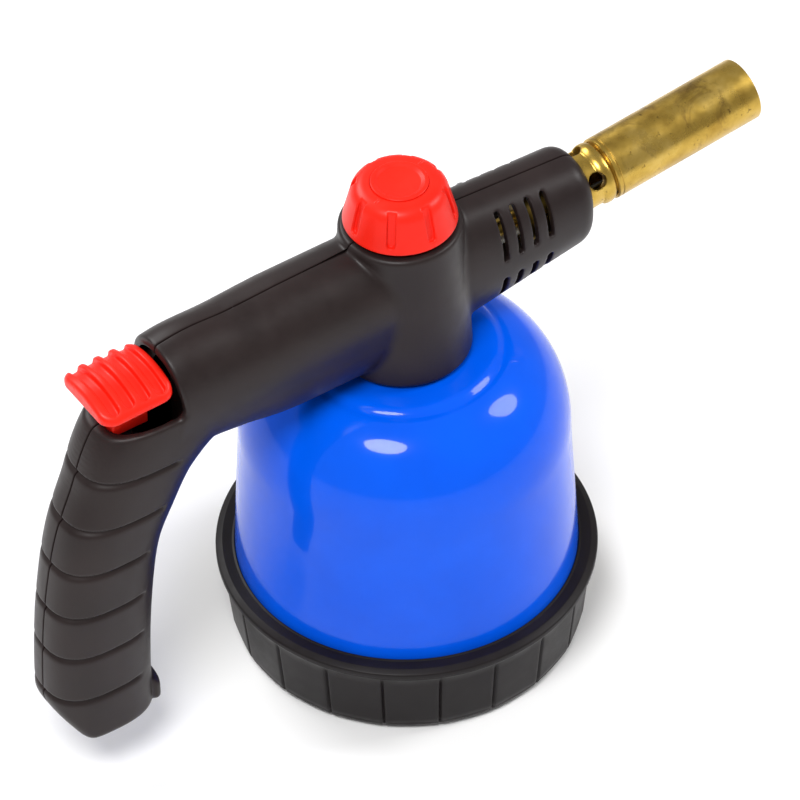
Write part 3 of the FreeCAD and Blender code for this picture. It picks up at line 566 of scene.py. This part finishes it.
def hollow_field(body, outer, reach, x, z):
    """The hollows behind the air slots, under the knob and under the button."""
    plane_x, plane_z = np.meshgrid(x, z, indexing="ij")
    hollow = np.maximum(outer + SKIN, (-2.0 - x)[:, None, None])
    hollow = np.minimum(hollow, np.maximum(reach - 15.8, (z - COLUMN_TOP + SKIN)[None, None, :]))
    well = smooth_max(body + 2.2, (MID - WELL_DEPTH - plane_z)[:, None, :], 2.0)
    well = np.maximum(well, (plane_x + 74.5)[:, None, :])
    return np.minimum(hollow, well)


def neck_hole(x, y, z):
    """The hole in the front barrel for the burner's neck."""
    ahead = x[:, None, None]
    over = (z - BURNER_HEIGHT)[None, None, :]
    along = ahead * math.cos(BURNER_TILT) + over * math.sin(BURNER_TILT)
    rise = over * math.cos(BURNER_TILT) - ahead * math.sin(BURNER_TILT)
    return np.maximum(np.sqrt(rise ** 2 + y[None, :, None] ** 2) - 7.7, 30 - along)


def housing_field(pitch):
    """The left half of the housing as a distance field, without its screw holes."""
    low = (-126.0, -4 * pitch, HEEL - 3.0)
    high = (FRONT + 3.0, 21.0, COLUMN_TOP + 3.0)
    x, y, z = axes_of(low, high, pitch)
    body = grip_field(x, y, z)
    body = smooth_min(body, barrel_field(x, y, z), 2.2)
    body = smooth_min(body, front_field(x, y, z), 2.0)
    lip = ellipse_distance((x + 89.0)[:, None, None], y[None, :, None], 1.9, 8.6, 2.6)
    lip = smooth_max(lip, (np.abs(z - HEEL - 3.5) - 4.0)[None, None, :], 2.0)
    body = smooth_min(body, lip, 3.0)
    body = body + groove_depth(x, z) * (body < 2.5)
    body = heel_cut(body, x, z)
    outer = smooth_min(body, column_field(x, y, z), 1.3)
    outer = smooth_max(outer, -pocket_field(x, z)[:, None, :], 1.2)
    reach = np.sqrt(x[:, None] ** 2 + y[None, :] ** 2)[:, :, None]
    shell = smooth_max(outer, -hollow_field(body, outer, reach, x, z), 0.6)
    shell = smooth_max(shell, -slot_field(x, z), 0.35)
    stem_hole = np.maximum(reach - 8.0, (COLUMN_TOP - 6 - z)[None, None, :])
    shell = np.maximum(shell, -stem_hole)
    shell = smooth_max(shell, -neck_hole(x, y, z), 0.6)
    return shell, (x, y, z), low


def housing_half(name, field, low, pitch, mirrored):
    """One half as a mesh, with loops along the seam that let its edge sink in."""
    points, quads = field_mesh(field, low, pitch)
    if mirrored:
        points[:, 1] *= -1
    side = -1.0 if mirrored else 1.0
    mesh = bpy.data.meshes.new(name)
    mesh.from_pydata((points * MM).tolist(), [], quads.tolist())
    thing = bpy.data.objects.new(name, mesh)
    bpy.context.scene.collection.objects.link(thing)
    work = bmesh.new()
    work.from_mesh(mesh)
    bmesh.ops.recalc_face_normals(work, faces=work.faces)
    for height in (0.55, 0.24):
        everything = work.verts[:] + work.edges[:] + work.faces[:]
        bmesh.ops.bisect_plane(work, geom=everything, plane_co=(0, side * height * MM, 0),
                               plane_no=(0, side, 0))
    everything = work.verts[:] + work.edges[:] + work.faces[:]
    cut = bmesh.ops.bisect_plane(work, geom=everything, plane_co=(0, side * 0.04 * MM, 0),
                                 plane_no=(0, side, 0), clear_inner=True)
    work.normal_update()
    rim = [item for item in cut["geom_cut"] if isinstance(item, bmesh.types.BMVert)]
    near = [vert for vert in work.verts if abs(abs(vert.co.y) - 0.24 * MM) < 1e-6]
    for group, depth in ((rim, 0.42), (near, 0.10)):
        for vert in group:
            push = Vector((vert.normal.x, 0, vert.normal.z))
            if push.length > 0.3:
                vert.co -= push.normalized() * depth * MM
    edges = [edge for edge in work.edges if edge.is_boundary]
    bmesh.ops.holes_fill(work, edges=edges, sides=0)
    work.to_mesh(mesh)
    work.free()
    finish_mesh(thing, BLACK, 40.0)
    return thing


def make_housing():
    pitch = 0.4
    field, axes, low = housing_field(pitch)
    right = housing_half("housing_shell_right", field, low, pitch, True)
    stand_for(right, "torch", "black_plastic", "housing_right")
    x, y, z = axes
    for spot_x, spot_z in SCREW_SPOTS:
        away = np.sqrt((x[:, None] - spot_x) ** 2 + (z[None, :] - spot_z) ** 2)[:, None, :]
        hole = np.maximum(away - 2.95, (7.0 - y)[None, :, None])
        field = smooth_max(field, -hole, 0.6)
    left = housing_half("housing_shell_left", field, low, pitch, False)
    stand_for(left, "torch", "black_plastic", "housing_left")


make_housing()


# ---------------------------------------------------------------- cup, collar ring and base cap

FINE_TURN = np.linspace(0, 2 * math.pi, 256, endpoint=False)


def make_cup():
    """Pressed steel cup: drafted wall, superellipse shoulder, flat crown with a pressed ring."""
    outer = CUP_HIGH[1]
    top = CUP_HIGH[2]
    shoulder_radius = outer - 2.2
    shoulder_low = top - 31.3
    crown = 19.0
    hole = 8.2
    wall = 0.8
    outline = [(outer, CUP_LOW[2]), (outer, COLLAR_HIGH[2])]
    for share in np.linspace(0.08, 0.94, 12):
        draft = 2.2 * smooth_step(share, 0, 1) * 0.35
        outline.append((outer - draft - 2.2 * share * 0.65,
                        COLLAR_HIGH[2] + (shoulder_low - COLLAR_HIGH[2]) * share))
    power = 2 / 2.22
    for angle in np.linspace(0, math.radians(70.5), 40):
        outline.append((crown + (shoulder_radius - crown) * math.cos(angle) ** power,
                        shoulder_low + (top - shoulder_low) * math.sin(angle) ** power))
    # pressed step round the flat crown
    outline += [(28.6, top - 1.75), (27.9, top - 1.55), (27.2, top - 1.05), (26.5, top - 0.5),
                (25.7, top - 0.16), (24.6, top - 0.03), (23.0, top)]
    inner = [(max(radius - wall, hole), height - wall * smooth_step(height, shoulder_low, top))
             for radius, height in reversed(outline)]
    outline += [(hole, top)]
    inner = [(hole, top - wall)] + inner
    cup = lathe("cup_shell", outline + inner, BLUE, sharp=50.0, angles=FINE_TURN)
    stand_for(cup, "torch", "blue_paint", "canister_cup")


def make_collar():
    low, high = COLLAR_LOW[2], COLLAR_HIGH[2]
    outer = COLLAR_HIGH[1]
    cup = CUP_HIGH[1]
    outline = rounded([
        (cup + 0.05, low + 2.0),
        (cup + 0.05, high, 0.25),
        (cup + 0.9, high - 0.35, 0.3),
        (outer - 1.9, high - 0.25, 0.8),
        (outer, high - 1.1, 0.7),
        (outer, high - 2.8, 0.35),
        (outer - 2.0, high - 2.8),
        (cup + 1.6, high - 2.8),
        (cup + 1.6, low),
        (cup - 2.6, low),
        (cup - 2.6, low + 1.9),
        (cup, low + 1.9),
    ])
    collar = lathe("collar_moulding", outline, BASE, angles=FINE_TURN)
    stand_for(collar, "torch", "base_plastic", "collar_ring")


CAP_PANELS = 20
PANEL_START = math.radians(-120.0 - 11.5)


def make_base_cap():
    """Screw cap with twenty softly flattened grip panels and a rounded foot."""
    top = CAP_HIGH[2]
    outer = CAP_HIGH[1]
    low_outer = outer - 2.0
    pitch = 2 * math.pi / CAP_PANELS
    # close together at a panel's edges, where its grooves are
    steps = [0.0, 0.012, 0.025, 0.04, 0.06, 0.1, 0.18, 0.28, 0.39,
             0.5, 0.61, 0.72, 0.82, 0.9, 0.94, 0.96, 0.975, 0.988]
    angles = np.array([PANEL_START + pitch * (panel + step) for panel in range(CAP_PANELS) for step in steps])
    outline = rounded([
        (1.0, 0.0),
        (low_outer - 3.4, 0.0, 1.2),
        (low_outer - 0.5, 2.0, 2.4),
        (outer - 1.6, top - 2.6),
    ])
    wall = [(low_outer - 0.2 + (outer - 0.3 - low_outer + 0.2) * share, 3.6 + (top - 2.2 - 3.6) * share)
            for share in np.linspace(0.0, 1.0, 16)]
    outline = outline[:-1] + wall
    rim = rounded([(outer - 0.3, top - 1.6), (outer, top - 1.2, 0.3),
                   (outer, top - 0.1, 0.3), (outer - 2.2, top)])
    outline += rim[1:]
    bore = outer - 2.5
    outline += [(bore, top), (bore, 9.6), (46.3, 9.4), (46.3, 3.2), (1.0, 3.2)]

    def shape(radius, height, angle):
        if radius < low_outer - 3.5 or height > top - 1.7 or (radius < bore + 0.01 and height > 3.0):
            return radius
        turn = ((angle - PANEL_START) / pitch) % 1.0
        from_edge = min(turn, 1 - turn) * pitch * radius
        share = smooth_step(height, 0.6, 3.2) * (1 - smooth_step(height, top - 3.0, top - 1.8))
        flat = radius * (math.cos(pitch / 2) / math.cos((turn - 0.5) * pitch) - 1) + 0.42
        groove = 0.85 * math.exp(-(from_edge / 0.42) ** 2)
        return radius + share * (flat * 0.6 - 0.28 - groove)

    cap = lathe("base_cap_moulding", outline, BASE, angles=angles, radius_of=shape, sharp=60.0)
    work = bmesh.new()
    work.from_mesh(cap.data)
    bmesh.ops.holes_fill(work, edges=[edge for edge in work.edges if edge.is_boundary], sides=0)
    work.to_mesh(cap.data)
    work.free()
    stand_for(cap, "cap", "base_plastic", "base_cap")


make_cup()
make_collar()
make_base_cap()


# ---------------------------------------------------------------- knob

KNOB_SLOT_START = math.radians(1.7)
KNOB_SLOTS = 8


def make_knob():
    """Conical knob with eight finger slots open at its rounded shoulder."""
    pitch = 0.18
    foot = KNOB_HIGH[1]
    low, top = KNOB_LOW[2], KNOB_HIGH[2]
    x, y, z = axes_of((-foot - 1, -foot - 1, low - 1), (foot + 1, foot + 1, top + 1), pitch)
    reach = np.sqrt(x[:, None] ** 2 + y[None, :] ** 2)[:, :, None]
    angle = np.arctan2(y[None, :], x[:, None])[:, :, None]
    level = z[None, None, :] - low
    high = top - low
    slim = foot - 0.25 * level
    dome = level - high + 0.06 + 0.0042 * np.maximum(reach ** 2 - 64, 0)
    body = smooth_max(reach - slim, dome, 3.2)
    body = smooth_max(body, -level, 0.8)
    turn = (angle - KNOB_SLOT_START) * KNOB_SLOTS / (2 * math.pi)
    across = np.abs(turn - np.round(turn)) * 2 * math.pi / KNOB_SLOTS * reach
    past = np.maximum(3.2 - level, 0)
    slot = np.sqrt(across ** 2 + past ** 2) - 1.15
    slot = smooth_max(slot, slim - 1.15 - reach, 0.3)
    body = smooth_max(body, -slot, 0.4)
    # two short raised marks on the top, on opposite sides
    for side in (0, math.pi):
        mark = math.radians(199.0) + side
        along = x[:, None, None] * math.cos(mark) + y[None, :, None] * math.sin(mark)
        beside = y[None, :, None] * math.cos(mark) - x[:, None, None] * math.sin(mark)
        bar = np.maximum(np.abs(along - 9.6) - 0.9, np.abs(beside) - 0.28)
        bar = smooth_max(bar, level - high + 0.06 - 0.12, 0.2)
        body = smooth_min(body, np.maximum(bar, high - 2 - level), 0.25)
    hole = np.maximum(reach - KNOB_CAP_HIGH[1] - 0.08, high - 3.3 - level)
    body = np.maximum(body, -hole)
    hollow = np.maximum(reach - (slim - 2.4), level - (high - 6.3))
    hollow = np.maximum(hollow, 5.5 - reach)
    body = np.maximum(body, -hollow)
    body = np.maximum(body, 2.97 - reach)
    points, quads = field_mesh(body, (x[0], y[0], z[0]), pitch)
    knob = make_object("knob_moulding", points * MM, quads.tolist(), RED, 50.0)
    stand_for(knob, "control", "red_plastic", "control_knob")


def make_knob_cap():
    top = KNOB_CAP_HIGH[2]
    outer = KNOB_CAP_HIGH[1]
    outline = rounded([
        (0.05, KNOB_CAP_LOW[2]),
        (outer, KNOB_CAP_LOW[2]),
        (outer, top - 0.05, 0.3),
        (outer - 1.1, top - 0.05, 0.5),
        (outer - 2.1, top - 0.55, 1.0),
        (0.05, top - 0.9),
    ])
    cap = lathe("knob_cap_disc", outline, RED, closed=False)
    stand_for(cap, "control", "red_plastic", "knob_cap")


make_knob()
make_knob_cap()


# ---------------------------------------------------------------- igniter button

def make_button():
    """Crowned thumb button with four valleys across it, on a square stem."""
    pitch = 0.2
    slope = math.radians(2.0)
    middle = (BUTTON_LOW[0] + BUTTON_HIGH[0]) / 2
    base = MID + LEDGE_RISE + BUTTON_TRAVEL + BUTTON_ROOM
    x, y, z = axes_of(BUTTON_LOW - 1, BUTTON_HIGH + 1, pitch)
    gx, gy, gz = np.meshgrid(x - middle, y, z - base, indexing="ij")
    along = gx * math.cos(slope) + gz * math.sin(slope)
    up = gz * math.cos(slope) - gx * math.sin(slope)
    crown = 22.0
    peak = 5.9 - 0.006 * along ** 2
    arch = np.sqrt(gy ** 2 + (up - peak + crown) ** 2) - crown
    half_long, half_wide, corner = 11.3, 12.2, 4.4
    past_x = np.maximum(np.abs(along) - half_long + corner, 0)
    past_y = np.maximum(np.abs(gy) - half_wide + corner, 0)
    sides = np.sqrt(past_x ** 2 + past_y ** 2) - corner
    slab = smooth_max(smooth_max(arch, sides, 1.4), -up, 0.8)
    valleys = np.full_like(slab, 9.0)
    for index in range(4):
        centre = (index - 1.5) * 4.8 + 0.2
        reach = np.maximum(np.maximum(gy - 14.0, -9.2 - gy), 0)
        ridge = np.sqrt((along - centre) ** 2 + reach ** 2) - 1.45
        valleys = np.minimum(valleys, smooth_max(ridge, -(arch + 1.6), 0.7))
    slab = smooth_max(slab, -valleys, 0.7)
    stem = np.maximum(np.maximum(np.abs(gx), np.abs(gy)) - 5.4,
                      np.maximum(gz - 1.5, BUTTON_LOW[2] - base - gz))
    skirt = np.maximum(np.maximum(np.abs(gx) - 9.0, np.abs(gy) - 8.4), np.maximum(up - 1.0, -2.4 - up))
    body = smooth_min(slab, smooth_min(stem, skirt, 0.6), 0.8)
    points, quads = field_mesh(body, (x[0], y[0], z[0]), pitch)
    button = make_object("button_moulding", points * MM, quads.tolist(), RED, 50.0)
    stand_for(button, "button", "red_plastic", "trigger_button")


make_button()


# ---------------------------------------------------------------- burner

def along_burner():
    """Lays a piece modelled along its own Z on the burner's axis."""
    turn = Matrix.Rotation(math.pi / 2 - BURNER_TILT, 4, "Y")
    return Matrix.Translation((0, 0, BURNER_HEIGHT * MM)) @ turn


def make_burner_tube():
    start = 67.0
    end = start + 48.6
    outer, bore = 9.2, 8.4
    outline = rounded([
        (bore, start + 0.05),
        (outer - 0.28, start + 0.05, 0.12),
        (outer, start + 0.35, 0.15),
        (outer, start + 1.3, 0.12),
        (outer - 0.3, start + 1.5, 0.1),
        (outer, start + 1.75, 0.12),
        (outer, end - 0.35, 0.3),
        (outer - 0.35, end, 0.15),
        (bore, end, 0.15),
    ], 4)
    tube = lathe("burner_tube_turned", outline, BURNER_BRASS, lay=along_burner())
    stand_for(tube, "torch", "burner_brass", "burner_tube")


def make_burner_neck():
    """Neck with its rounded shoulder, root ring and four drilled air holes."""
    pitch = 0.16
    start, end = 38.0, 72.0
    x, y, z = axes_of((-10, -10, start - 1), (10, 10, end + 1), pitch)
    gx, gy = x[:, None, None], y[None, :, None]
    reach = np.sqrt(gx ** 2 + gy ** 2)
    level = z[None, None, :]
    neck = smooth_max(reach - 7.4, level - 68, 0.4)
    ring = smooth_max(reach - 7.75, np.abs(level - 58.2) - 0.9, 0.4)
    shoulder = smooth_max(reach - 9.1, np.maximum(level - 66.95, 62.4 - level - (9.1 - reach) * 0.55), 2.2)
    spigot = np.maximum(reach - 8.33, level - end)
    body = np.minimum(smooth_min(smooth_min(neck, ring, 0.3), shoulder, 0.8), spigot)
    body = np.maximum(body, start - level)
    bore = np.maximum(reach - 6.4, start + 6 - level)
    wide = np.maximum(reach - 7.5, 65 - level)
    body = np.maximum(body, -np.minimum(bore, wide))
    body = np.maximum(body, -(reach - 2.55))
    for index in range(4):
        angle = math.radians(57.0 + 90 * index)
        side = np.abs(gx * math.sin(angle) - gy * math.cos(angle))
        facing = gx * math.cos(angle) + gy * math.sin(angle)
        hole = np.maximum(np.sqrt(side ** 2 + (level - 61.4) ** 2) - 2.5, -facing)
        body = smooth_max(body, -hole, 0.3)
    points, quads = field_mesh(body, (x[0], y[0], z[0]), pitch)
    neck_piece = make_object("burner_neck_turned", points * MM, quads.tolist(), BURNER_BRASS, 40.0)
    neck_piece.data.transform(along_burner())
    stand_for(neck_piece, "torch", "burner_brass", "burner_neck")


make_burner_tube()
make_burner_neck()


# ---------------------------------------------------------------- floor and light

def make_floor():
    n = Nodes("studio_floor")
    n.colour(n.ramp(n.noise(3.0, 3.0), [(0.3, (0.90, 0.90, 0.90)), (0.7, (0.93, 0.93, 0.93))]))
    n.roughness(n.remap(n.noise(20.0, 3.0), 0.3, 0.7, 0.65, 0.75))
    size = 6.0
    floor = make_object("floor", [(-size, -size, -0.0002), (size, -size, -0.0002), (size, size, -0.0002),
                                  (-size, size, -0.0002)], [(0, 1, 2, 3)], n.material)


def area_light(name, place, target, width, depth, power, colour=(1, 1, 1)):
    data = bpy.data.lights.new(name, "AREA")
    data.shape = "ELLIPSE"
    data.size = width
    data.size_y = depth
    data.energy = power
    data.color = colour
    light = bpy.data.objects.new(name, data)
    light.location = place
    aim = Vector(target) - Vector(place)
    light.rotation_euler = aim.to_track_quat("-Z", "Y").to_euler()
    bpy.context.scene.collection.objects.link(light)


def make_light():
    area_light("key", (-0.60, -0.45, 1.30), (0, 0, 0.08), 0.60, 0.45, 15)
    area_light("side", (1.05, -0.45, 1.05), (0, 0, 0.08), 0.45, 0.60, 9)
    area_light("back", (-0.25, 1.20, 1.10), (0, 0, 0.08), 0.95, 0.50, 12)
    world = bpy.data.worlds.new("studio")
    world.use_nodes = True
    world.node_tree.nodes["Background"].inputs["Color"].default_value = (1.0, 0.985, 0.98, 1.0)
    world.node_tree.nodes["Background"].inputs["Strength"].default_value = 0.42
    bpy.context.scene.world = world
    bpy.context.scene.view_settings.view_transform = "Standard"


make_floor()
make_light()
